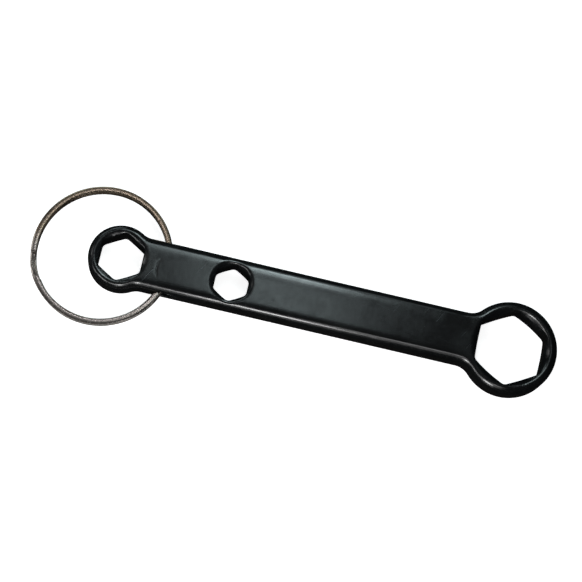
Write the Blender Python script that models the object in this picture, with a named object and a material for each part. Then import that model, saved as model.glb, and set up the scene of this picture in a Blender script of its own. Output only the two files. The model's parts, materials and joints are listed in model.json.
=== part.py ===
"""Pocket wrench with three hexagonal openings and a split ring through a cross hole in its bar."""

from math import asin, atan2, cos, exp, pi, radians, sin, sqrt

import bmesh
import bpy
from mathutils import Vector

MM = 0.001

# Where things are along the wrench, from the middle of the whole object. +X runs towards the large head.
SMALL_X = -58.70 * MM
MID_X = SMALL_X + 37.2 * MM
LARGE_X = SMALL_X + 131.7 * MM
RING_HOLE_X = SMALL_X + 15.5 * MM

# Openings, measured across the flats: 9/16, 7/16 and 7/8 inch.
SMALL_FLATS = 14.29 * MM
MID_FLATS = 11.11 * MM
LARGE_FLATS = 22.23 * MM
CORNER_RADIUS = 0.7 * MM
CORNER_STEPS = 3

# Circle that each opening's flared mouth makes on the face, and the depth of the flare.
SMALL_MOUTH_RADIUS = 8.5 * MM
MID_MOUTH_RADIUS = 6.9 * MM
LARGE_MOUTH_RADIUS = 13.1 * MM
MOUTH_DEPTH = 2.2 * MM
MOUTH_SEGMENTS = 48

# Outline of the one-piece body.
SMALL_HEAD_RADIUS = 10.9 * MM
LARGE_HEAD_RADIUS = 15.65 * MM
BAR_HALF_WIDTH = 8.61 * MM
NECK_RADIUS = 6.3 * MM
HEAD_STEP = radians(9)
NECK_STEP = radians(11)

# Thickness of the body: it lies on a flat back, its front face is slightly crowned.
BAR_THICKNESS = 9.5 * MM
LARGE_HEAD_RISE = 0.6 * MM
RISE_START = LARGE_X - 17.4 * MM
RISE_END = LARGE_X - 13.2 * MM
EDGE_RADIUS = 1.6 * MM
EDGE_STEPS = 4
CROWN_HEIGHT = 0.35 * MM
CROWN_INSET = 6.0 * MM
CROWN_STEPS = 3

# Cross hole for the split ring, through the bar from edge to edge.
RING_HOLE_RADIUS = 2.85 * MM
RING_HOLE_FLARE = 0.5 * MM
RING_HOLE_SEGMENTS = 32
AXIS_Z = BAR_THICKNESS / 2

# Split ring: one flattened wire wound nearly twice round.
WIRE_WIDTH = 2.15 * MM
WIRE_THICKNESS = 1.4 * MM
WIRE_CORNER = 0.5 * MM
COIL_GAP = 0.15 * MM
COIL_RADIUS = 22.52 * MM
RING_REACH = 22.1 * MM  # from the cross hole's axis to the middle of the ring
WIRE_START = radians(213)
CROSSOVER_START = radians(550)
CROSSOVER_END = radians(573)
CROSSOVER_BULGE = 0.2 * MM  # how far the wire stands out where it climbs, and over what angle
BULGE_SPREAD = radians(24)
WIRE_END = radians(910)
COIL_STEP = radians(7.5)
CROSSOVER_STEP = radians(2.8)

# Cutters run this far past the faces that they open.
OVERCUT = 1.0 * MM


def clear_scene():
    for obj in list(bpy.data.objects):
        bpy.data.objects.remove(obj, do_unlink=True)


def make_material(name, colour, roughness, metallic):
    material = bpy.data.materials.new(name)
    material.use_nodes = True
    shader = material.node_tree.nodes["Principled BSDF"]
    shader.inputs["Base Color"].default_value = (*colour, 1.0)
    shader.inputs["Roughness"].default_value = roughness
    shader.inputs["Metallic"].default_value = metallic
    return material


def add_object(name, mesh, material=None, smooth_angle=None):
    obj = bpy.data.objects.new(name, mesh)
    bpy.context.scene.collection.objects.link(obj)
    if material:
        mesh.materials.append(material)
    if smooth_angle:
        mesh.shade_smooth()
        mesh.set_sharp_from_angle(angle=smooth_angle)
    return obj


def mesh_from(name, points, faces):
    """A closed mesh with its faces turned outwards."""
    built = bmesh.new()
    corners = [built.verts.new(p) for p in points]
    for face in faces:
        built.faces.new([corners[i] for i in face])
    bmesh.ops.recalc_face_normals(built, faces=built.faces)
    mesh = bpy.data.meshes.new(name)
    built.to_mesh(mesh)
    built.free()
    return mesh


def lofted(name, loops):
    """A solid through equal loops of points, closed at both ends by a flat face."""
    count = len(loops[0])
    points = [p for loop in loops for p in loop]
    faces = [list(range(count)), list(range(len(points) - count, len(points)))]
    for level in range(len(loops) - 1):
        base = level * count
        for i in range(count):
            j = (i + 1) % count
            faces.append([base + i, base + j, base + count + j, base + count + i])
    return mesh_from(name, points, faces)


def arc(centre_x, centre_y, radius, start, end, step):
    """Points along an arc, both ends included."""
    steps = max(1, round(abs(end - start) / step))
    angles = [start + (end - start) * i / steps for i in range(steps + 1)]
    return [(centre_x + radius * cos(a), centre_y + radius * sin(a)) for a in angles]


def upper_outline(inset):
    """The half of the body's outline at +Y, from the small head's tip to the large head's, moved inwards."""
    points = []
    for head_x, head_radius, side in (
        (SMALL_X, SMALL_HEAD_RADIUS, -1),
        (LARGE_X, LARGE_HEAD_RADIUS, 1),
    ):
        # The neck's arc touches the head's circle and the bar's straight edge.
        rise = BAR_HALF_WIDTH + NECK_RADIUS
        run = sqrt((head_radius + NECK_RADIUS) ** 2 - rise**2)
        meet = atan2(rise, run)
        half = arc(head_x, 0, head_radius - inset, 0, pi - meet, HEAD_STEP)
        half += arc(head_x - run, rise, NECK_RADIUS + inset, -meet, -pi / 2, NECK_STEP)[1:]
        if side < 0:
            half = [(2 * head_x - x, y) for x, y in half]
            points += half
        else:
            points += reversed(half)
    return points


def rise_at(x):
    """How far the front face stands above the bar's, which is the raised large head."""
    share = min(1, max(0, (x - RISE_START) / (RISE_END - RISE_START)))
    return LARGE_HEAD_RISE * share * share * (3 - 2 * share)


def body_levels():
    """(inset, height, is it on the front) from the flat back up to the middle of the front face."""
    quarter = [pi / 2 * i / EDGE_STEPS for i in range(EDGE_STEPS + 1)]
    top = BAR_THICKNESS - CROWN_HEIGHT
    levels = [(CROWN_INSET, 0, False)]
    levels += [(EDGE_RADIUS * (1 - sin(a)), EDGE_RADIUS * (1 - cos(a)), False) for a in quarter]
    levels += [
        (EDGE_RADIUS * (1 - cos(a)), top - EDGE_RADIUS * (1 - sin(a)), True) for a in quarter
    ]
    for i in range(1, CROWN_STEPS + 1):
        share = i / CROWN_STEPS
        inset = EDGE_RADIUS + (CROWN_INSET - EDGE_RADIUS) * share
        levels.append((inset, BAR_THICKNESS - CROWN_HEIGHT * (1 - share) ** 2, True))
    return levels


def body_blank():
    """The body before its openings are cut."""
    loops = []
    for inset, height, front in body_levels():
        half = upper_outline(inset)
        half[0] = (half[0][0], 0)
        ring = half + [(x, -y) for x, y in reversed(half[1:-1])]
        loops.append([(x, y, height + (rise_at(x) if front else 0)) for x, y in ring])
    count = len(loops[0])
    last = len(half) - 1
    points = [p for loop in loops for p in loop]
    faces = []
    for level in range(len(loops) - 1):
        base = level * count
        for i in range(count):
            j = (i + 1) % count
            faces.append([base + i, base + j, base + count + j, base + count + i])
    # Both faces close in strips across the bar, so that the front can follow the raised head.
    for base in (0, len(points) - count):
        for i in range(last):
            strip = [i, i + 1, (count - i - 1) % count, (count - i) % count]
            faces.append([base + k for k in dict.fromkeys(strip)])
    return mesh_from("wrench_body", points, faces)


def hexagon(flats, height):
    """A hexagon with rounded corners at +Y and -Y, its flats facing the two heads."""
    points = []
    reach = (flats / 2 - CORNER_RADIUS) / cos(pi / 6)
    for k in range(6):
        middle = pi / 2 + k * pi / 3
        centre = (reach * cos(middle), reach * sin(middle))
        points += arc(*centre, CORNER_RADIUS, middle - pi / 6, middle + pi / 6, pi / 3 / CORNER_STEPS)
    return [(x, y, height) for x, y in points]


def circle(radius, height, segments):
    return [
        (radius * cos(2 * pi * i / segments), radius * sin(2 * pi * i / segments), height)
        for i in range(segments)
    ]


def cut(body, cutter):
    cutter.hide_render = True
    cutter.display_type = "WIRE"
    modifier = body.modifiers.new(cutter.name, "BOOLEAN")
    modifier.operation = "DIFFERENCE"
    modifier.solver = "EXACT"
    modifier.object = cutter


def cut_opening(body, name, x, flats, mouth_radius, front):
    """A hexagonal hole from face to face, flared at both mouths."""
    through = lofted(name + "_hexagon", [hexagon(flats, -OVERCUT), hexagon(flats, front + OVERCUT)])
    hexagon_cutter = add_object(name + "_hexagon", through)
    hexagon_cutter.location.x = x
    cut(body, hexagon_cutter)
    for end, face, outwards in (("front", front, 1), ("back", 0, -1)):
        wide = circle(mouth_radius + OVERCUT, face + outwards * OVERCUT, MOUTH_SEGMENTS)
        narrow = circle(mouth_radius - MOUTH_DEPTH, face - outwards * MOUTH_DEPTH, MOUTH_SEGMENTS)
        cone = add_object(f"{name}_{end}_flare", lofted(name, [narrow, wide]))
        cone.location.x = x
        cut(body, cone)


def cut_ring_hole(body):
    """The cross hole, with its two mouths broken."""
    wide = RING_HOLE_RADIUS + RING_HOLE_FLARE + OVERCUT
    side = BAR_HALF_WIDTH
    stations = [
        (wide, -side - OVERCUT),
        (RING_HOLE_RADIUS, -side + RING_HOLE_FLARE),
        (RING_HOLE_RADIUS, side - RING_HOLE_FLARE),
        (wide, side + OVERCUT),
    ]
    loops = [circle(radius, along, RING_HOLE_SEGMENTS) for radius, along in stations]
    drill = add_object("ring_hole", lofted("ring_hole", loops))
    drill.location = (RING_HOLE_X, 0, AXIS_Z)
    drill.rotation_euler.x = pi / 2
    cut(body, drill)


def build_body():
    coating = make_material("black_coating", (0.012, 0.013, 0.015), 0.38, 0.0)
    body = add_object("wrench_body", body_blank(), coating, radians(35))
    cut_opening(body, "small_opening", SMALL_X, SMALL_FLATS, SMALL_MOUTH_RADIUS, BAR_THICKNESS)
    cut_opening(body, "mid_opening", MID_X, MID_FLATS, MID_MOUTH_RADIUS, BAR_THICKNESS)
    raised = BAR_THICKNESS + LARGE_HEAD_RISE
    cut_opening(body, "large_opening", LARGE_X, LARGE_FLATS, LARGE_MOUTH_RADIUS, raised)
    cut_ring_hole(body)
    return body


def wire_section():
    """(outwards, upwards) points round the flattened wire's rounded section."""
    across = WIRE_WIDTH / 2 - WIRE_CORNER
    up = WIRE_THICKNESS / 2 - WIRE_CORNER
    points = []
    for sign_x, sign_y, start in ((1, 1, 0), (-1, 1, pi / 2), (-1, -1, pi), (1, -1, 3 * pi / 2)):
        points += arc(sign_x * across, sign_y * up, WIRE_CORNER, start, start + pi / 2, pi / 4)
    return points


def wire_angles():
    """Angles along the wire, closer together where it climbs from the lower coil to the upper."""
    angles = []
    for start, end, step in (
        (WIRE_START, CROSSOVER_START, COIL_STEP),
        (CROSSOVER_START, CROSSOVER_END, CROSSOVER_STEP),
        (CROSSOVER_END, WIRE_END, COIL_STEP),
    ):
        steps = round((end - start) / step)
        angles += [start + (end - start) * i / steps for i in range(steps)]
    return angles + [WIRE_END]


def build_split_ring():
    """The ring's origin is on the cross hole's axis, and its far side rests on the ground."""
    section = wire_section()
    half_pitch = (WIRE_THICKNESS + COIL_GAP) / 2
    loops = []
    for angle in wire_angles():
        share = (angle - CROSSOVER_START) / (CROSSOVER_END - CROSSOVER_START)
        share = min(1, max(0, share))
        share = share * share * (3 - 2 * share)
        from_climb = (angle - (CROSSOVER_START + CROSSOVER_END) / 2) / BULGE_SPREAD
        radius = COIL_RADIUS + CROSSOVER_BULGE * exp(-(from_climb**2))
        height = half_pitch * (2 * share - 1)
        loops.append(
            [
                (
                    (radius + out) * cos(angle) - RING_REACH,
                    (radius + out) * sin(angle),
                    height + up,
                )
                for out, up in section
            ]
        )
    plating = make_material("nickel_plating", (0.62, 0.59, 0.55), 0.22, 1.0)
    ring = add_object("split_ring", lofted("split_ring", loops), plating, radians(50))
    ring.location = (RING_HOLE_X, 0, AXIS_Z)
    far_edge = RING_REACH + COIL_RADIUS + CROSSOVER_BULGE + WIRE_WIDTH / 2 - WIRE_CORNER
    drop = AXIS_Z - half_pitch - WIRE_THICKNESS / 2
    ring.rotation_euler.y = -asin(drop / far_edge)
    return ring


clear_scene()
build_body()
build_split_ring()
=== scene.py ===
"""Looks for the pocket wrench: a fine body and split ring around the frame, with camera and light."""

import json
from math import asin, atan2, copysign, cos, exp, hypot, pi, radians, sin, sqrt, tan

import bmesh
import bpy
import numpy as np
from mathutils import Matrix, Vector
from mathutils.geometry import delaunay_2d_cdt


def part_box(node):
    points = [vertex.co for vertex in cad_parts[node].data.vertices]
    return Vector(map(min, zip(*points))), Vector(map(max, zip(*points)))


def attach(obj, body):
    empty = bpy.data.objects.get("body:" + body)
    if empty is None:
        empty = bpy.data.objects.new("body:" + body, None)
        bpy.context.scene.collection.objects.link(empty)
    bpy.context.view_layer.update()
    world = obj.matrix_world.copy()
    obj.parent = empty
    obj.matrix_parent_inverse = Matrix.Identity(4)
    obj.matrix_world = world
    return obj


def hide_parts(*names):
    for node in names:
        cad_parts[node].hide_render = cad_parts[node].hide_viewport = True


MM = 0.001

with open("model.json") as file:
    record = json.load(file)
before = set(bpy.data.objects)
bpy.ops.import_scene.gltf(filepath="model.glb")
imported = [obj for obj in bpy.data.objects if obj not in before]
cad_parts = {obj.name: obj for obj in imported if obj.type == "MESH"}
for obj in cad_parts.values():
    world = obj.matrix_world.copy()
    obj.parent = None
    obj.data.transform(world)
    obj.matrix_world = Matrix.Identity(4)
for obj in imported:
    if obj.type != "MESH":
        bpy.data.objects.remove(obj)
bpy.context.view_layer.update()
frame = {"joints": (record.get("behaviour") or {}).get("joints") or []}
body_low, body_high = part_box("wrench_body")
swing = frame["joints"][0]
HOLE_AXIS = Vector(swing["pos_m"])

# ---------------------------------------------------------------- sizes of the wrench body
SMALL_HEAD_RADIUS = 10.9 * MM
LARGE_HEAD_RADIUS = 15.65 * MM
BAR_HALF_WIDTH = 8.61 * MM
NECK_RADIUS = 6.3 * MM
SMALL_X = body_low.x + SMALL_HEAD_RADIUS
LARGE_X = body_high.x - LARGE_HEAD_RADIUS
MID_X = SMALL_X + 37.2 * MM

# (centre, flats, mouth radius, steepest angle of the flare) of each opening.
OPENINGS = (
    (SMALL_X, 14.29 * MM, 8.5 * MM, radians(29)),
    (MID_X, 11.11 * MM, 6.9 * MM, radians(45)),
    (LARGE_X, 22.23 * MM, 13.1 * MM, radians(45)),
)
HEX_CORNER_RADIUS = 1.6 * MM
HEX_EDGE = 0.22 * MM  # rounding where a hexagon's wall meets its flare
MOUTH_FILLET = 1.5 * MM  # radius of the rounding where a flare meets the face
FILLET_START = MOUTH_FILLET * (sqrt(2) - 1)  # how far outside the mouth's circle it begins

BAR_THICKNESS = 9.5 * MM
HEAD_RISE = 0.5 * MM
RISE_START = MID_X + 12.0 * MM  # the bar thickens very gently towards the large head
RISE_END = LARGE_X - 15.4 * MM
KINK = 0.12 * MM  # a small step in the edge's rounding where the large head begins
KINK_START = LARGE_X - 17.4 * MM
KINK_REACH = 3.6 * MM
CROWN = 0.35 * MM
CROWN_REACH = 6.0 * MM
FRONT_EDGE = (2.9 * MM, 2.4 * MM)  # how far the front edge's rounding reaches inwards, and down
SMALL_HEAD_EDGE_REACH = 2.15 * MM
BACK_EDGE = (1.6 * MM, 1.6 * MM)

RING_HOLE_RADIUS = 2.85 * MM
RING_HOLE_FLARE = 0.45 * MM
RING_HOLE_STEPS = 96
RING_HOLE_BEND = radians(55)  # how far the rounding of its mouths turns

# A shallow curved crease across the front face beside the small head.
CREASE_RADIUS = 9.0 * MM
CREASE_CENTRE = (SMALL_X + 12.35 * MM + CREASE_RADIUS, -1.0 * MM)
CREASE_REACH = 3.6 * MM
CREASE_HALF_WIDTH = 0.42 * MM
CREASE_DEPTH = 0.055 * MM

WEAR = "wear"  # how much each point is rubbed, from 0 to 1


def face_out(mesh):
    tidy = bmesh.new()
    tidy.from_mesh(mesh)
    bmesh.ops.recalc_face_normals(tidy, faces=tidy.faces)
    tidy.to_mesh(mesh)
    tidy.free()


def smooth(share):
    share = np.clip(share, 0, 1)
    return share * share * (3 - 2 * share)


# ---------------------------------------------------------------- the body's plan
def neck_of(head_radius):
    """Where the neck's arc has its centre, from the head's, and the angle at which it leaves the head."""
    rise = BAR_HALF_WIDTH + NECK_RADIUS
    run = sqrt((head_radius + NECK_RADIUS) ** 2 - rise**2)
    return run, rise, atan2(rise, run)


HEADS = (
    (SMALL_X, SMALL_HEAD_RADIUS, 1, *neck_of(SMALL_HEAD_RADIUS)),
    (LARGE_X, LARGE_HEAD_RADIUS, -1, *neck_of(LARGE_HEAD_RADIUS)),
)


def outline():
    """Points of the outline at +Y, with outward normals, from the small head's tip to the large head's."""
    found = []
    for head_x, radius, way, run, rise, meet in HEADS:
        half = []
        for a in np.linspace(pi, meet, round((pi - meet) / radians(3)) + 1):
            half.append((radius * cos(a), radius * sin(a), cos(a), sin(a)))
        for a in np.linspace(pi + meet, 1.5 * pi, round((pi / 2 - meet) / radians(4)) + 1)[1:]:
            half.append((run + NECK_RADIUS * cos(a), rise + NECK_RADIUS * sin(a), -cos(a), -sin(a)))
        half = [(head_x + way * x, y, way * nx, ny) for x, y, nx, ny in half]
        found.append(half if way > 0 else half[::-1])
    start, end = found[0][-1][0], found[1][0][0]
    steps = round((end - start) / MM)
    straight = [(start + (end - start) * i / steps, BAR_HALF_WIDTH, 0, 1) for i in range(1, steps)]
    return np.array(found[0] + straight + found[1])


def edge_distance(x, y):
    """Distance inwards from the outline."""
    y = np.abs(y)
    distance = BAR_HALF_WIDTH - y
    for head_x, radius, way, run, rise, meet in HEADS:
        along = (x - head_x) * way
        in_head = (np.arctan2(y, along) >= meet) | (along < 0)
        in_neck = (along < run) & ~in_head
        distance = np.where(in_head, radius - np.hypot(along, y), distance)
        neck = np.hypot(along - run, y - rise) - NECK_RADIUS
        distance = np.where(in_neck, neck, distance)
    return distance


def hexagon_distance(x, y, flats):
    """Distance outwards from a hexagon with rounded corners at +Y and -Y."""
    inner = flats / 2 - HEX_CORNER_RADIUS
    x, y = np.abs(x), np.abs(y)
    k = np.array((-sqrt(3) / 2, 0.5))
    # Folded into one sixth, with the flat at +X.
    dot = 2 * np.minimum(k[1] * x + k[0] * y, 0)
    x2, y2 = x - dot * k[1], y - dot * k[0]
    reach = inner / sqrt(3)
    y2 = y2 - np.clip(y2, -reach, reach)
    outside = np.hypot(np.maximum(x2 - inner, 0), y2)
    inside = np.minimum(x2 - inner, 0)
    return outside + inside - HEX_CORNER_RADIUS


PLAN_STEP = 0.8 * MM  # between points along the hexagons and the mouths


def hexagon_loop(flats):
    """(x, y, nx, ny) round the hexagon, close together at its corners."""
    reach = (flats / 2 - HEX_CORNER_RADIUS) / cos(pi / 6)
    corners = []
    for k in range(6):
        middle = pi / 2 + k * pi / 3
        for a in np.linspace(middle - pi / 6, middle + pi / 6, 6):
            corners.append(
                (
                    reach * cos(middle) + HEX_CORNER_RADIUS * cos(a),
                    reach * sin(middle) + HEX_CORNER_RADIUS * sin(a),
                    cos(a),
                    sin(a),
                )
            )
    points = []
    for i, here in enumerate(corners):
        there = corners[(i + 1) % len(corners)]
        length = hypot(there[0] - here[0], there[1] - here[1])
        steps = max(1, round(length / PLAN_STEP))
        for s in range(steps):
            t = s / steps
            points.append(tuple(p + (q - p) * t for p, q in zip(here, there)))
    return np.array(points)


def quarter_drop(distance, reach, drop):
    """How far an edge's elliptical rounding lies below the face, at a distance inwards from the edge."""
    u = np.clip(1 - distance / reach, 0, 1)
    return drop * (1 - np.sqrt(1 - u * u))


def flare_drop(outwards, steepest):
    """How far a mouth's flare lies below the face, at a distance outwards from the mouth's circle."""
    u = np.clip((FILLET_START - outwards) / MOUTH_FILLET, 0, None)
    bend = 1 - np.sqrt(1 - np.minimum(u, sin(steepest)) ** 2)
    return MOUTH_FILLET * (bend + np.maximum(u - sin(steepest), 0) * tan(steepest))


def crease_drop(x, y):
    """How far the crease lies below the front face."""
    off = (np.hypot(x - CREASE_CENTRE[0], y - CREASE_CENTRE[1]) - CREASE_RADIUS) / CREASE_HALF_WIDTH
    across = np.clip(1 - off * off, 0, 1) ** 2
    along = smooth((CREASE_REACH - np.abs(y - CREASE_CENTRE[1])) / (CREASE_REACH / 2))
    return CREASE_DEPTH * across * along * (x < CREASE_CENTRE[0])


def height(x, y, front):
    """Height of the front or the back face."""
    d = edge_distance(x, y)
    if front:
        beyond = smooth((x - SMALL_X) / SMALL_HEAD_RADIUS)
        reach = SMALL_HEAD_EDGE_REACH + (FRONT_EDGE[0] - SMALL_HEAD_EDGE_REACH) * beyond
        drop = quarter_drop(d, reach, FRONT_EDGE[1])
    else:
        drop = quarter_drop(d, *BACK_EDGE)
    for centre, flats, mouth, steepest in OPENINGS:
        r = np.hypot(x - centre, y)
        drop = drop + flare_drop(r - mouth, steepest) * (r < mouth + MOUTH_FILLET)
        near = hexagon_distance(x - centre, y, flats)
        drop = drop + np.where(near < HEX_EDGE, quarter_drop(np.maximum(near, 0), HEX_EDGE, HEX_EDGE), 0)
    if not front:
        return drop
    crown = CROWN * (1 - np.clip(d / CROWN_REACH, 0, 1)) ** 2
    rise = HEAD_RISE * smooth((x - RISE_START) / (RISE_END - RISE_START))
    step = KINK * (smooth((x - KINK_START) / (RISE_END - KINK_START)) - 1) * smooth(1 - d / KINK_REACH)
    step = step * smooth((x - MID_X) / (KINK_START - MID_X))
    return BAR_THICKNESS + rise - crown - drop - crease_drop(x, y) + step


def bump_at(value, peak, spread):
    return np.exp(-(((value - peak) / spread) ** 2))


def wear_of(x, y):
    """How much each point of a face is rubbed in use, from 0 to 1: most along the edges that stand out."""
    rubbed = bump_at(edge_distance(x, y), 0.8 * MM, 0.7 * MM)
    for centre, flats, mouth, _ in OPENINGS:
        near = hexagon_distance(x - centre, y, flats)
        rubbed = np.maximum(rubbed, bump_at(near, 0.05 * MM, 0.3 * MM))
        rubbed = np.maximum(rubbed, 0.7 * bump_at(np.hypot(x - centre, y) - mouth, 0.1 * MM, 0.6 * MM))
    return rubbed


ROWS_IN_EDGE = 12
CELL = 0.16 * MM  # of the grid that finds a point's neighbours
CLEAR_OF_LOOPS = 0.02 * MM
LEAST_GAP = 0.11 * MM
LEAST_GAP_IN_EDGE = 0.05 * MM
WALL_ROWS = 4


def body_mesh():
    """The wrench body without its cross hole: one plan, triangulated once, stands for both faces."""
    loops, points = [], []

    def add_loop(loop):
        loops.append(list(range(len(points), len(points) + len(loop))))
        points.extend(map(tuple, loop))

    half = outline()
    mirrored = half[1:-1][::-1] * (1, -1, 1, -1)
    whole = np.concatenate([half, mirrored])
    add_loop(whole[:, :2])
    hexagons = []
    for centre, flats, _, _ in OPENINGS:
        hexagons.append(hexagon_loop(flats) + (centre, 0, 0, 0))
        add_loop(hexagons[-1][:, :2])
    # Rows that follow the edges, each where the rounding has turned by an equal angle.
    reach = FRONT_EDGE[0]
    insets = [reach * (1 - cos(a)) for a in np.linspace(0, pi / 2, ROWS_IN_EDGE + 1)[1:]]
    insets += [reach + 0.9 * MM, reach + 1.9 * MM]
    rows = [whole[:, :2] - whole[:, 2:] * inset for inset in insets]
    for (centre, _, mouth, _), loop in zip(OPENINGS, hexagons):
        for out in (0.25, 0.6, 1.0):
            rows.append(loop[:, :2] + loop[:, 2:] * HEX_EDGE * out)
        steps = round(2 * pi * mouth / PLAN_STEP)
        turns = np.linspace(0, 2 * pi, steps, endpoint=False)
        for bend in np.linspace(0, pi / 4, 7):
            r = mouth + FILLET_START - MOUTH_FILLET * sin(bend)
            rows.append(np.stack([centre + r * np.cos(turns), r * np.sin(turns)], 1))
        for out in (-0.75, -1.1, 1.1, 1.6):
            r = mouth + out * MM
            rows.append(np.stack([centre + r * np.cos(turns), r * np.sin(turns)], 1))
    turns = np.linspace(pi - 0.45, pi + 0.45, 28)
    for off in (-1.1, -0.7, -0.35, 0, 0.35, 0.7, 1.1):
        r = CREASE_RADIUS + off * CREASE_HALF_WIDTH
        rows.append(np.stack([CREASE_CENTRE[0] + r * np.cos(turns), CREASE_CENTRE[1] + r * np.sin(turns)], 1))
    for x in np.linspace(KINK_START, RISE_END, 9):
        for edge in np.linspace(0.6 * MM, KINK_REACH, 7):
            rows.append(np.array([(x, BAR_HALF_WIDTH - edge), (x, edge - BAR_HALF_WIDTH)]))
    grid_x = np.arange(SMALL_X, LARGE_X, 1.2 * MM)
    grid_y = np.linspace(-1, 1, 8) * (BAR_HALF_WIDTH - reach - 1.9 * MM)
    rows.append(np.stack(np.meshgrid(grid_x, grid_y), -1).reshape(-1, 2))
    kept = np.array(points)
    extra = np.concatenate(rows)
    clear = edge_distance(extra[:, 0], extra[:, 1]) > CLEAR_OF_LOOPS
    for centre, flats, _, _ in OPENINGS:
        clear &= hexagon_distance(extra[:, 0] - centre, extra[:, 1], flats) > CLEAR_OF_LOOPS
    extra = extra[clear]
    # A point too near one already kept is left out.
    taken = {}
    for p in kept:
        taken.setdefault((int(p[0] // CELL), int(p[1] // CELL)), []).append(p)
    chosen = []
    for p in extra:
        i, j = int(p[0] // CELL), int(p[1] // CELL)
        near = (q for a in (-1, 0, 1) for b in (-1, 0, 1) for q in taken.get((i + a, j + b), ()))
        room = LEAST_GAP_IN_EDGE if edge_distance(*p) < 0.5 * MM else LEAST_GAP
        if all((p[0] - q[0]) ** 2 + (p[1] - q[1]) ** 2 > room**2 for q in near):
            taken.setdefault((i, j), []).append(p)
            chosen.append(tuple(p))
    points.extend(chosen)
    edges = [(loop[i - 1], loop[i]) for loop in loops for i in range(len(loop))]
    plan, _, faces, *_ = delaunay_2d_cdt([Vector(p) / MM for p in points], edges, [], 0, 1e-7)
    assert len(plan) == len(points), "the plan's points were merged"
    xy = np.array(points)
    middle = np.array([xy[list(f)].mean(0) for f in faces])
    solid = edge_distance(middle[:, 0], middle[:, 1]) > 0
    for centre, flats, _, _ in OPENINGS:
        solid &= hexagon_distance(middle[:, 0] - centre, middle[:, 1], flats) > 0
    # Dropped: faces in the openings, and those that span a neck's hollow.
    faces = [list(f) for f, keep in zip(faces, solid) if keep]
    front = np.column_stack([xy, height(xy[:, 0], xy[:, 1], True)])
    back = np.column_stack([xy, height(xy[:, 0], xy[:, 1], False)])
    count = len(xy)
    everything = [tuple(map(float, p)) for p in np.concatenate([front, back])]
    quads = []
    # The walls, in a few rows from the front face's edge down to the back's.
    for loop in loops:
        columns = []
        for i in loop:
            top, low = everything[i][2], everything[i + count][2]
            column = [i]
            for s in range(1, WALL_ROWS):
                column.append(len(everything))
                everything.append((*everything[i][:2], top + (low - top) * s / WALL_ROWS))
            columns.append(column + [i + count])
        for i in range(len(columns)):
            here, there = columns[i - 1], columns[i]
            for s in range(WALL_ROWS):
                quads.append([here[s], there[s], there[s + 1], here[s + 1]])
    flipped = [[i + count for i in f[::-1]] for f in faces]
    mesh = bpy.data.meshes.new("wrench_body_looks")
    mesh.from_pydata(everything, [], faces + flipped + quads)
    face_out(mesh)
    wear = np.zeros(len(everything), np.float32)
    wear[: 2 * count] = np.tile(wear_of(xy[:, 0], xy[:, 1]), 2)
    mesh.attributes.new(WEAR, "FLOAT", "POINT").data.foreach_set("value", wear)
    return mesh


def ring_hole_cutter():
    """The cross hole along Y with rounded mouths, as a turned solid."""
    rounding = 2 * RING_HOLE_FLARE
    end = BAR_HALF_WIDTH + 0.05 * MM
    stations = [(RING_HOLE_RADIUS + 1.6 * MM, end + 1.1 * MM)]
    for a in np.linspace(RING_HOLE_BEND, 0, 6):
        r = RING_HOLE_RADIUS + rounding * (1 - cos(a))
        stations.append((r, end - rounding * (sin(RING_HOLE_BEND) - sin(a))))
    stations += [(r, -along) for r, along in stations[::-1]]
    steps = RING_HOLE_STEPS
    turns = [2 * pi * i / steps for i in range(steps)]
    points = [(r * cos(t), along, r * sin(t)) for r, along in stations for t in turns]
    faces = [list(range(steps)), list(range(len(points) - steps, len(points)))]
    for level in range(len(stations) - 1):
        for i in range(steps):
            a, b = level * steps + i, level * steps + (i + 1) % steps
            faces.append([a, b, b + steps, a + steps])
    mesh = bpy.data.meshes.new("ring_hole")
    mesh.from_pydata(points, [], faces)
    face_out(mesh)
    cutter = bpy.data.objects.new("ring_hole", mesh)
    bpy.context.scene.collection.objects.link(cutter)
    cutter.location = HOLE_AXIS
    return cutter


def build_body(material):
    body = bpy.data.objects.new("wrench_body_looks", body_mesh())
    bpy.context.scene.collection.objects.link(body)
    cutter = ring_hole_cutter()
    drill = body.modifiers.new("ring_hole", "BOOLEAN")
    drill.operation, drill.solver, drill.object = "DIFFERENCE", "EXACT", cutter
    graph = bpy.context.evaluated_depsgraph_get()
    drilled = bpy.data.meshes.new_from_object(body.evaluated_get(graph))
    body.modifiers.clear()
    body.data = drilled
    bpy.data.objects.remove(cutter)
    drilled.name = "wrench_body_looks"
    drilled.materials.clear()
    drilled.materials.append(material)
    drilled.shade_smooth()
    drilled.set_sharp_from_angle(angle=radians(38))
    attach(body, "wrench")
    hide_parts("wrench_body")
    return body


# ---------------------------------------------------------------- the split ring
WIRE_WIDTH = 2.13 * MM
WIRE_THICKNESS = 1.4 * MM
WIRE_CORNER = 0.5 * MM  # of the CAD node's wire, on which it rests
WIRE_SQUARENESS = 3.2  # power of the section's superellipse
WIRE_SIDES = 36
COIL_GAP = 0.15 * MM
COIL_RADIUS = 22.52 * MM
RING_REACH = 22.1 * MM
WIRE_START = radians(213)
CROSSOVER_START = radians(550)
CROSSOVER_END = radians(573)
CROSSOVER_BULGE = 0.2 * MM  # how far the wire stands out where it climbs, and over what angle
BULGE_SPREAD = radians(24)
WIRE_END = radians(910)
WIRE_STEP = radians(1.25)
TIP_SIZE = 0.55  # of the wire's flat end, as a share of its section
ALONG, AROUND = "along", "around"  # places on the wire, in millimetres


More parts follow.
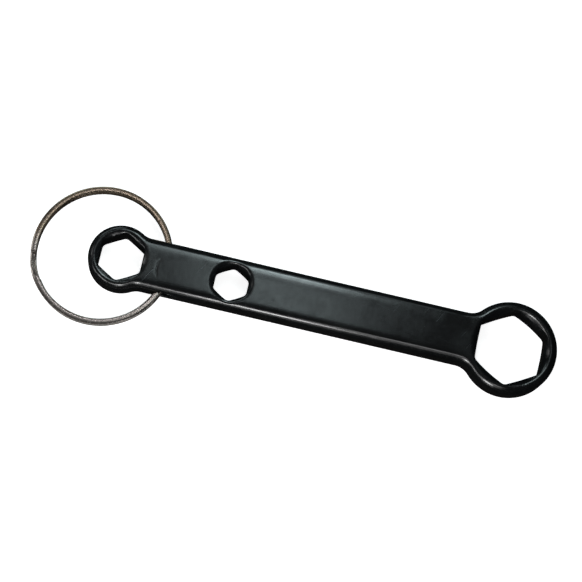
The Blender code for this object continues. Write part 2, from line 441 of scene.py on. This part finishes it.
def wire_section():
    """(outwards, upwards) round the wire: a flattened oval, between an ellipse and a rectangle."""
    found = []
    for i in range(WIRE_SIDES):
        across, up = cos(2 * pi * i / WIRE_SIDES), sin(2 * pi * i / WIRE_SIDES)
        found.append(
            (
                WIRE_WIDTH / 2 * copysign(abs(across) ** (2 / WIRE_SQUARENESS), across),
                WIRE_THICKNESS / 2 * copysign(abs(up) ** (2 / WIRE_SQUARENESS), up),
            )
        )
    return found


def build_ring(material):
    """One wire wound nearly twice round, resting as its CAD node does."""
    half_pitch = (WIRE_THICKNESS + COIL_GAP) / 2
    far_edge = RING_REACH + COIL_RADIUS + CROSSOVER_BULGE + WIRE_WIDTH / 2 - WIRE_CORNER
    drop = HOLE_AXIS.z - half_pitch - WIRE_THICKNESS / 2
    section = wire_section()
    steps = round((WIRE_END - WIRE_START) / WIRE_STEP)
    angles = list(np.linspace(WIRE_START, WIRE_END, steps + 1))
    for share in (0.03, 0.1, 0.21, 0.35):
        angles += [WIRE_START + share * WIRE_THICKNESS / COIL_RADIUS]
        angles += [WIRE_END - share * WIRE_THICKNESS / COIL_RADIUS]
    angles.sort()
    around = np.cumsum([0] + [hypot(p[0] - q[0], p[1] - q[1]) for p, q in zip(section[1:], section)])
    points, along = [], []
    for angle in angles:
        share = float(smooth((angle - CROSSOVER_START) / (CROSSOVER_END - CROSSOVER_START)))
        from_climb = (angle - (CROSSOVER_START + CROSSOVER_END) / 2) / BULGE_SPREAD
        radius = COIL_RADIUS + CROSSOVER_BULGE * exp(-(from_climb**2))
        level = half_pitch * (2 * share - 1)
        # Each tip is rounded off over half the wire's thickness.
        from_end = min(angle - WIRE_START, WIRE_END - angle) * radius / (WIRE_THICKNESS / 2)
        size = TIP_SIZE + (1 - TIP_SIZE) * sqrt(1 - max(0.0, 1 - from_end) ** 2)
        for out, up in section:
            r = radius + out * size
            points.append((r * cos(angle) - RING_REACH, r * sin(angle), level + up * size))
            along.append(angle * COIL_RADIUS)
    count = len(section)
    faces = [list(range(count)), list(range(len(points) - count, len(points)))]
    for level in range(len(angles) - 1):
        base = level * count
        for i in range(count):
            j = (i + 1) % count
            faces.append([base + i, base + j, base + count + j, base + count + i])
    mesh = bpy.data.meshes.new("split_ring_looks")
    mesh.from_pydata(points, [], faces)
    face_out(mesh)
    mesh.attributes.new(ALONG, "FLOAT", "POINT").data.foreach_set("value", np.array(along, np.float32) / MM)
    rounds = np.tile(around, len(angles)).astype(np.float32) / MM
    mesh.attributes.new(AROUND, "FLOAT", "POINT").data.foreach_set("value", rounds)
    mesh.transform(Matrix.Translation(HOLE_AXIS) @ Matrix.Rotation(-asin(drop / far_edge), 4, "Y"))
    mesh.materials.append(material)
    mesh.shade_smooth()
    mesh.set_sharp_from_angle(angle=radians(50))
    ring = bpy.data.objects.new("split_ring_looks", mesh)
    bpy.context.scene.collection.objects.link(ring)
    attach(ring, "ring")
    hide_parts("split_ring")
    return ring


# ---------------------------------------------------------------- materials
class Material:
    """A node material, with short ways to add and link its nodes."""

    def __init__(self, made):
        self.data = bpy.data.materials.new(made) if isinstance(made, str) else made
        self.data.use_nodes = True
        self.tree = self.data.node_tree
        self.shader = self.tree.nodes["Principled BSDF"]

    def node(self, kind, inputs=(), **settings):
        made = self.tree.nodes.new("ShaderNode" + kind)
        for name, value in settings.items():
            setattr(made, name, value)
        for socket, value in dict(inputs).items():
            self.set(made.inputs[socket], value)
        return made

    def set(self, socket, value):
        if isinstance(value, bpy.types.NodeSocket):
            self.tree.links.new(value, socket)
        else:
            socket.default_value = value

    def places(self, scale=(1, 1, 1), turn=0.0):
        """Object coordinates in millimetres, turned about Z and then scaled."""
        here = self.node("TexCoord").outputs["Object"]
        turned = self.node("VectorRotate", {"Vector": here, "Angle": turn}).outputs[0]
        scaled = self.node("VectorMath", {0: turned, 1: [1 / MM * s for s in scale]}, operation="MULTIPLY")
        return scaled.outputs[0]

    def noise(self, vector, scale, detail=2.0, rough=0.5):
        values = {"Vector": vector, "Scale": scale, "Detail": detail, "Roughness": rough}
        return self.node("TexNoise", values).outputs["Fac"]

    def ramp(self, value, low, high, to_low=0.0, to_high=1.0):
        """The value's range from low to high, spread smoothly over to_low to to_high."""
        limits = {"Value": value, 1: low, 2: high, 3: to_low, 4: to_high}
        return self.node("MapRange", limits, interpolation_type="SMOOTHSTEP").outputs[0]

    def maths(self, operation, a, b):
        return self.node("Math", {0: a, 1: b}, operation=operation).outputs[0]

    def blend(self, share, first, second):
        made = self.node("Mix", data_type="RGBA")
        for socket, value in zip((0, 6, 7), (share, first, second)):
            self.set(made.inputs[socket], value)
        return made.outputs[2]

    def attribute(self, name):
        return self.node("Attribute", attribute_name=name).outputs["Fac"]

    def bump(self, heights):
        """Bumps of (height, micrometres) each, laid over one another."""
        normal = None
        for value, depth in heights:
            made = self.node("Bump", {"Height": value, "Strength": 1.0, "Distance": depth * 1e-6})
            if normal:
                self.set(made.inputs["Normal"], normal)
            normal = made.outputs[0]
        self.set(self.shader.inputs["Normal"], normal)


DEEP_BLACK = (0.0035, 0.004, 0.0045, 1)
FADED_BLACK = (0.0065, 0.0075, 0.008, 1)
SCUFFED_BLACK = (0.04, 0.045, 0.048, 1)
WORN_BLACK = (0.06, 0.06, 0.058, 1)


def black_coating():
    """Satin black coating: a leathery skin, dull patches, hairline scuffs, and wear on what stands out."""
    coat = Material("satin_black")
    skin = coat.noise(coat.places(), 0.6, 3.0, 0.55)
    pebble = coat.noise(coat.places(), 2.6, 2.0, 0.5)
    patches = coat.noise(coat.places(), 0.11, 3.0, 0.6)
    scuffs = coat.noise(coat.places((0.05, 1.5, 0.4), radians(-58)), 1.0, 3.0, 0.55)
    hairs = coat.noise(coat.places((0.03, 4.0, 0.6), radians(14)), 1.0, 2.0, 0.5)
    speckle = coat.noise(coat.places(), 1.7, 5.0, 0.75)
    scuffed = coat.maths("MULTIPLY", coat.ramp(scuffs, 0.62, 0.72), coat.ramp(patches, 0.46, 0.66))
    scratched = coat.maths("MULTIPLY", coat.ramp(hairs, 0.66, 0.74), coat.ramp(patches, 0.56, 0.4))
    worn = coat.maths("MULTIPLY", coat.attribute(WEAR), coat.ramp(speckle, 0.46, 0.8))
    colour = coat.blend(coat.ramp(patches, 0.35, 0.65), DEEP_BLACK, FADED_BLACK)
    colour = coat.blend(coat.maths("MULTIPLY", scuffed, 0.5), colour, SCUFFED_BLACK)
    colour = coat.blend(coat.maths("MULTIPLY", worn, 0.35), colour, WORN_BLACK)
    coat.set(coat.shader.inputs["Base Color"], colour)
    rough = coat.ramp(skin, 0.3, 0.7, 0.14, 0.18)
    rough = coat.maths("ADD", rough, coat.ramp(patches, 0.35, 0.7, 0.0, 0.05))
    rough = coat.maths("ADD", rough, coat.maths("MULTIPLY", coat.maths("ADD", scuffed, scratched), 0.1))
    rough = coat.maths("ADD", rough, coat.maths("MULTIPLY", worn, 0.12))
    coat.set(coat.shader.inputs["Roughness"], rough)
    grain = coat.maths("MULTIPLY", skin, coat.ramp(coat.attribute(WEAR), 0.1, 0.8, 1.0, 0.15))
    coat.bump(((grain, 13.0), (pebble, 1.0), (scuffed, -1.2), (scratched, -1.6)))
    return coat.data


NICKEL = (0.58, 0.54, 0.505, 1)
# Brown of random tarnish, and of the painted reflection on the ring's +Y side.
BROWN_TARNISH_AND_REFLECTION = (0.40, 0.325, 0.24, 1)
FILMED_NICKEL = (0.36, 0.32, 0.27, 1)
NICKED_NICKEL = (0.3, 0.27, 0.23, 1)


def nickel_plating():
    """Nickel plate that has browned in places, with a painted brown reflection that grows towards +Y, and the
    drawn wire's fine lines along it.
    """
    plate = Material("bright_nickel")
    spots = plate.noise(plate.places(), 0.09, 3.0, 0.55)
    across = plate.node("SeparateXYZ", {0: plate.places()}).outputs[1]
    # Painted reflection: the plate is painted browner towards +Y, the far side of the ring, on top of its
    # random tarnish spots.
    painted_reflection_brown_at_plus_y = plate.ramp(across, -14.0, 16.0, 0.12, 0.42)
    tarnish_and_painted_reflection = plate.maths("ADD", plate.maths("MULTIPLY", spots, 0.5), painted_reflection_brown_at_plus_y)
    film = plate.noise(plate.places(), 0.8, 3.0, 0.6)
    wire = plate.node("CombineXYZ", {0: plate.attribute(ALONG), 1: plate.attribute(AROUND)}).outputs[0]
    stretched = plate.node("VectorMath", {0: wire, 1: (0.12, 6.0, 1.0)}, operation="MULTIPLY").outputs[0]
    lines = plate.noise(stretched, 1.0, 3.0, 0.6)
    nicks = plate.ramp(plate.noise(plate.places(), 3.2, 4.0, 0.7), 0.66, 0.74)
    colour = plate.blend(plate.ramp(tarnish_and_painted_reflection, 0.4, 0.62), NICKEL, BROWN_TARNISH_AND_REFLECTION)
    colour = plate.blend(plate.ramp(film, 0.45, 0.75, 0.0, 0.35), colour, FILMED_NICKEL)
    colour = plate.blend(plate.maths("MULTIPLY", nicks, 0.5), colour, NICKED_NICKEL)
    plate.set(plate.shader.inputs["Base Color"], colour)
    plate.shader.inputs["Metallic"].default_value = 1.0
    rough = plate.maths("ADD", plate.ramp(lines, 0.3, 0.7, 0.17, 0.25), plate.ramp(film, 0.4, 0.7, 0.0, 0.06))
    plate.set(plate.shader.inputs["Roughness"], rough)
    plate.bump(((lines, 0.3), (nicks, -1.2), (film, 0.8)))
    return plate.data


# ---------------------------------------------------------------- stage, camera and light
CAMERA_TARGET = Vector((-1.71, 2.64, 4.75)) * MM
CAMERA_DISTANCE = 645.1 * MM
CAMERA_BACK = Vector((-0.0198, -0.2311, 0.9727))
CAMERA_RIGHT = Vector((0.9735, 0.2173, 0.0715))
CAMERA_LENS = 120.62


def build_camera():
    data = bpy.data.cameras.new("camera")
    camera = bpy.data.objects.new("camera", data)
    bpy.context.scene.collection.objects.link(camera)
    data.lens, data.sensor_width = CAMERA_LENS, 36
    data.clip_start, data.clip_end = 0.01, 20
    back = CAMERA_BACK.normalized()
    right = (CAMERA_RIGHT - back * CAMERA_RIGHT.dot(back)).normalized()
    up = back.cross(right)
    turn = Matrix((right, up, back)).transposed()
    camera.matrix_world = Matrix.Translation(CAMERA_TARGET + back * CAMERA_DISTANCE) @ turn.to_4x4()
    bpy.context.scene.camera = camera


COOL = (0.82, 0.98, 1.0)
WHITE = (1, 1, 1)
# (name, x, y, z, width, height, radiance, colour) of each soft light, all turned to the object's middle.
LIGHTS = (
    ("front_far", -0.30, -0.13, 0.15, 0.08, 0.06, 4.0, WHITE),
    ("front_left", -0.20, -0.19, 0.18, 0.12, 0.06, 6.5, WHITE),
    ("front_near", -0.09, -0.24, 0.18, 0.08, 0.06, 5.0, WHITE),
    ("front", -0.01, -0.24, 0.18, 0.06, 0.06, 21.0, WHITE),
    ("front_right", 0.06, -0.24, 0.18, 0.08, 0.06, 1.2, WHITE),
    ("front_low", -0.02, -0.27, 0.09, 0.09, 0.05, 1.6, WHITE),
    ("front_high", 0.06, -0.20, 0.26, 0.09, 0.06, 3.7, WHITE),
    ("card_low", -0.13, 0.22, 0.08, 0.09, 0.06, 2.2, COOL),
    ("card_left", -0.24, 0.22, 0.15, 0.09, 0.07, 2.3, COOL),
    ("back_low", 0.03, 0.22, 0.15, 0.09, 0.07, 1.0, COOL),
    ("back_mid_left", -0.065, 0.20, 0.24, 0.07, 0.08, 3.0, COOL),
    ("back_mid", -0.005, 0.20, 0.24, 0.05, 0.08, 10.0, COOL),
    ("back_high_left", -0.07, 0.17, 0.34, 0.07, 0.09, 2.5, COOL),
    ("back_high", -0.005, 0.17, 0.34, 0.06, 0.09, 8.0, COOL),
    ("overhead", -0.008, 0.155, 0.80, 0.095, 0.14, 3.0, COOL),
    ("over_ring", -0.20, 0.20, 0.80, 0.09, 0.20, 0.55, WHITE),
    ("ceiling", 0.0, 0.20, 0.85, 1.00, 1.00, 0.06, WHITE),
    ("left", -0.36, 0.06, 0.15, 0.08, 0.06, 3.0, WHITE),
    ("left_high", -0.30, 0.05, 0.30, 0.10, 0.08, 0.8, WHITE),
)


# Lights that the ring doesn't mirror.
SCREENED = (
    *("front_far", "front_left", "front_near", "front", "front_low", "front_high"),
    *("back_mid_left", "back_mid", "back_high_left", "back_high"),
)
# Broad, dim lights, and two small bright ones, that only the ring mirrors.
RING_LIGHTS = (
    ("ring_streak", -0.115, 0.075, 0.25, 0.020, 0.012, 9.0, (0.96, 0.92, 1.0)),
    ("ring_glint", -0.080, 0.041, 0.25, 0.016, 0.012, 8.0, (1.0, 0.95, 0.92)),
    ("ring_fill_front", -0.06, -0.42, 0.24, 0.80, 0.26, 0.36, (1.0, 0.96, 0.93)),
    ("ring_fill_back", -0.06, 0.42, 0.24, 0.80, 0.26, 0.26, (1.0, 0.94, 0.86)),
    ("ring_fill_left", -0.50, 0.00, 0.22, 0.50, 0.22, 0.42, (1.0, 0.95, 0.90)),
    ("ring_fill_right", 0.38, 0.00, 0.30, 0.50, 0.22, 0.42, (1.0, 0.96, 0.93)),
)


def build_lights(ring):
    """Soft lights round the object. The ring's polished wire has its own, and doesn't see some others."""
    screened = bpy.data.collections.new("all_but_the_ring")
    screened.objects.link(ring)
    screened.collection_objects[0].light_linking.link_state = "EXCLUDE"
    ring_only = bpy.data.collections.new("ring_only")
    ring_only.objects.link(ring)
    for lamp in LIGHTS + RING_LIGHTS:
        name, x, y, z, width, tall, radiance, colour = lamp
        data = bpy.data.lights.new(name, "AREA")
        data.shape, data.size, data.size_y = "RECTANGLE", width, tall
        data.energy, data.color = radiance * pi * width * tall, colour
        light = bpy.data.objects.new(name, data)
        bpy.context.scene.collection.objects.link(light)
        light.location = (x, y, z)
        if lamp in RING_LIGHTS:
            light.light_linking.receiver_collection = ring_only
        elif name in SCREENED:
            light.light_linking.receiver_collection = screened
        light.rotation_euler = (-light.location).to_track_quat("-Z", "Y").to_euler()


FLOOR_GLOW = 0.88
WORLD_STRENGTH = 0.012
BACKDROP_STRENGTH = 0.95

# Painted shade: the floor that only reflections see is this dark grey, as the floor looks in the wrench's
# shade.
PAINTED_SHADE_FLOOR = (0.025, 0.023, 0.021)
PALE_FLOOR = (0.8, 0.79, 0.77)
RING_CENTRE_X = HOLE_AXIS.x - RING_REACH
PALE_ZONE = (23.6 * MM, 29.0 * MM)  # from the ring's centre
SHADED_HALF_WIDTH = 12.8 * MM
SHADED_PAST_HEAD = 4.0 * MM
FLOOR_HALF_SIZE = 1.5


def pale_beside_the_ring(material):
    """Paints the floor that only reflections see: pale next to the ring, which mirrors it, and dark grey
    everywhere else, a painted shade as under and beside the wrench.
    """
    surface = Material(material)
    here = surface.node("TexCoord").outputs["Object"]
    x, y, _ = surface.node("SeparateXYZ", {0: here}).outputs
    aside = surface.maths("SUBTRACT", x, RING_CENTRE_X)
    flat = surface.node("CombineXYZ", {0: aside, 1: y}).outputs[0]
    r = surface.node("VectorMath", {0: flat}, operation="LENGTH").outputs[1]
    beyond = surface.maths("GREATER_THAN", r, PALE_ZONE[0])
    within = surface.maths("LESS_THAN", r, PALE_ZONE[1])
    inside = surface.maths("MULTIPLY", beyond, within)
    off_axis = surface.maths("GREATER_THAN", surface.maths("ABSOLUTE", y, 0.0), SHADED_HALF_WIDTH)
    outer = surface.maths("LESS_THAN", x, SMALL_X - SMALL_HEAD_RADIUS - SHADED_PAST_HEAD)
    open_floor = surface.maths("MAXIMUM", off_axis, outer)
    share = surface.maths("MULTIPLY", inside, open_floor)
    # Painted shade: dark grey, except for the pale band by the ring.
    colour = surface.blend(share, (*PAINTED_SHADE_FLOOR, 1), (*PALE_FLOOR, 1))
    surface.set(surface.shader.inputs["Base Color"], colour)


def floor_plane(name, drop, colour, glow):
    half = FLOOR_HALF_SIZE
    corners = [(-half, -half, 0), (half, -half, 0), (half, half, 0), (-half, half, 0)]
    mesh = bpy.data.meshes.new(name)
    mesh.from_pydata(corners, [], [(0, 1, 2, 3)])
    plane = bpy.data.objects.new(name, mesh)
    bpy.context.scene.collection.objects.link(plane)
    plane.location.z = -drop
    surface = Material(name)
    surface.shader.inputs["Base Color"].default_value = (*colour, 1)
    surface.shader.inputs["Roughness"].default_value = 0.9
    surface.shader.inputs["Specular IOR Level"].default_value = 0
    surface.shader.inputs["Emission Color"].default_value = (1, 1, 1, 1)
    surface.shader.inputs["Emission Strength"].default_value = glow
    mesh.materials.append(surface.data)
    return plane


def build_stage():
    """A pale floor, and under it one that only reflections see, painted dark grey as shade, so that black
    gloss stays black.
    """
    floor = floor_plane("floor", 0.02 * MM, (0.86, 0.86, 0.86), FLOOR_GLOW)
    floor.visible_glossy = floor.visible_diffuse = floor.visible_shadow = False
    mirrored = floor_plane("floor_in_reflections", 0.04 * MM, PAINTED_SHADE_FLOOR, 0)
    pale_beside_the_ring(mirrored.active_material)
    for ray in ("camera", "transmission", "volume_scatter", "shadow"):
        setattr(mirrored, "visible_" + ray, False)
    world = bpy.data.worlds.new("world")
    bpy.context.scene.world = world
    world.use_nodes = True
    tree = world.node_tree
    tree.nodes["Background"].inputs["Color"].default_value = (1, 1, 1, 1)
    # The backdrop looks as pale as the floor, but lights the object only a little.
    seen = tree.nodes.new("ShaderNodeLightPath").outputs["Is Camera Ray"]
    strength = tree.nodes.new("ShaderNodeMapRange")
    strength.inputs["To Min"].default_value = WORLD_STRENGTH
    strength.inputs["To Max"].default_value = BACKDROP_STRENGTH
    tree.links.new(seen, strength.inputs["Value"])
    tree.links.new(strength.outputs[0], tree.nodes["Background"].inputs["Strength"])


build_body(black_coating())
split_ring = build_ring(nickel_plating())
build_stage()
build_camera()
build_lights(split_ring)
bpy.context.scene.view_settings.view_transform = "Standard"
